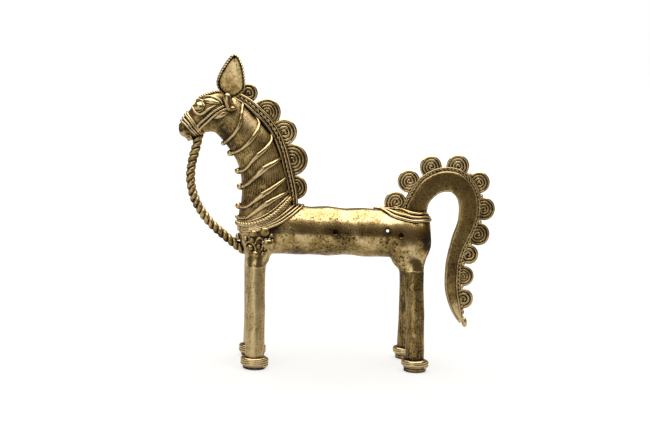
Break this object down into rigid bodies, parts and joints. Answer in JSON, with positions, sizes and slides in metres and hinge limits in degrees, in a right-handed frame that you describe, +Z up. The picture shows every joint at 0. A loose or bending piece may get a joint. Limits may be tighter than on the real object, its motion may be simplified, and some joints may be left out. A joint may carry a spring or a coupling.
{
  "type": "horse statue",
  "caption": "Small standing horse in dhokra (lost-wax, wax-thread) brass: tubular body, spiral mane, arched tail with spirals, leaf ears and a twisted-rope rein.",
  "frame": {"origin": "on the plane the four feet stand on, under the middle of the overall length and width", "axes": "+X towards the tail, so the horse faces -X; +Y to the horse's right; +Z up"},
  "size_m": [0.2048, 0.0538, 0.1955],
  "materials": {
    "polished_brass": "hand-polished cast brass, rubbed bright on the raised parts, brown patina in the hollows",
    "aged_brass": "cast brass left with its brown patina, rubbed only on the crests",
    "fired_clay": "fired clay and sand core, matt and crumbly"
  },
  "bodies": {
    "root": {"torso_shell": "polished_brass", "clay_core": "fired_clay", "neck_shell": "aged_brass", "head": "polished_brass", "foot_pad_front_left": "aged_brass", "leg_front_left": "polished_brass", "foot_winding_front_left": "polished_brass", "foot_pad_front_right": "aged_brass", "leg_front_right": "polished_brass", "foot_winding_front_right": "polished_brass", "foot_pad_rear_left": "aged_brass", "leg_rear_left": "polished_brass", "foot_winding_rear_left": "polished_brass", "foot_pad_rear_right": "aged_brass", "leg_rear_right": "polished_brass", "foot_winding_rear_right": "polished_brass", "mane_band": "aged_brass", "collar_rope": "aged_brass", "collar_band": "polished_brass", "neck_thread_1": "polished_brass", "neck_thread_2": "polished_brass", "neck_thread_3": "polished_brass", "neck_thread_4": "polished_brass", "neck_thread_5": "polished_brass", "neck_thread_6": "polished_brass", "mane_coil_1": "aged_brass", "mane_coil_2": "aged_brass", "mane_coil_3": "aged_brass", "mane_coil_4": "aged_brass", "mane_coil_5": "aged_brass", "tail": "polished_brass", "tail_rope": "aged_brass", "rump_binding": "polished_brass", "tail_coil_1": "aged_brass", "tail_coil_2": "aged_brass", "tail_coil_3": "aged_brass", "tail_coil_4": "aged_brass", "tail_coil_5": "aged_brass", "tail_coil_6": "aged_brass", "tail_coil_7": "aged_brass", "tail_coil_8": "aged_brass", "tail_coil_9": "aged_brass", "tail_coil_10": "aged_brass", "rein_rope": "polished_brass", "nose_band": "polished_brass", "forelock_rope": "aged_brass", "eye_left": "polished_brass", "eyelid_left": "polished_brass", "cheek_strap_left": "aged_brass", "ear_rim_left": "aged_brass", "ear_left": "polished_brass", "eye_right": "polished_brass", "eyelid_right": "polished_brass", "cheek_strap_right": "aged_brass", "ear_rim_right": "aged_brass", "ear_right": "polished_brass", "chest_rosette_left": "aged_brass", "chest_garland_left": "aged_brass", "chest_rosette_right": "aged_brass", "chest_garland_right": "aged_brass"}
  },
  "joints": []
}
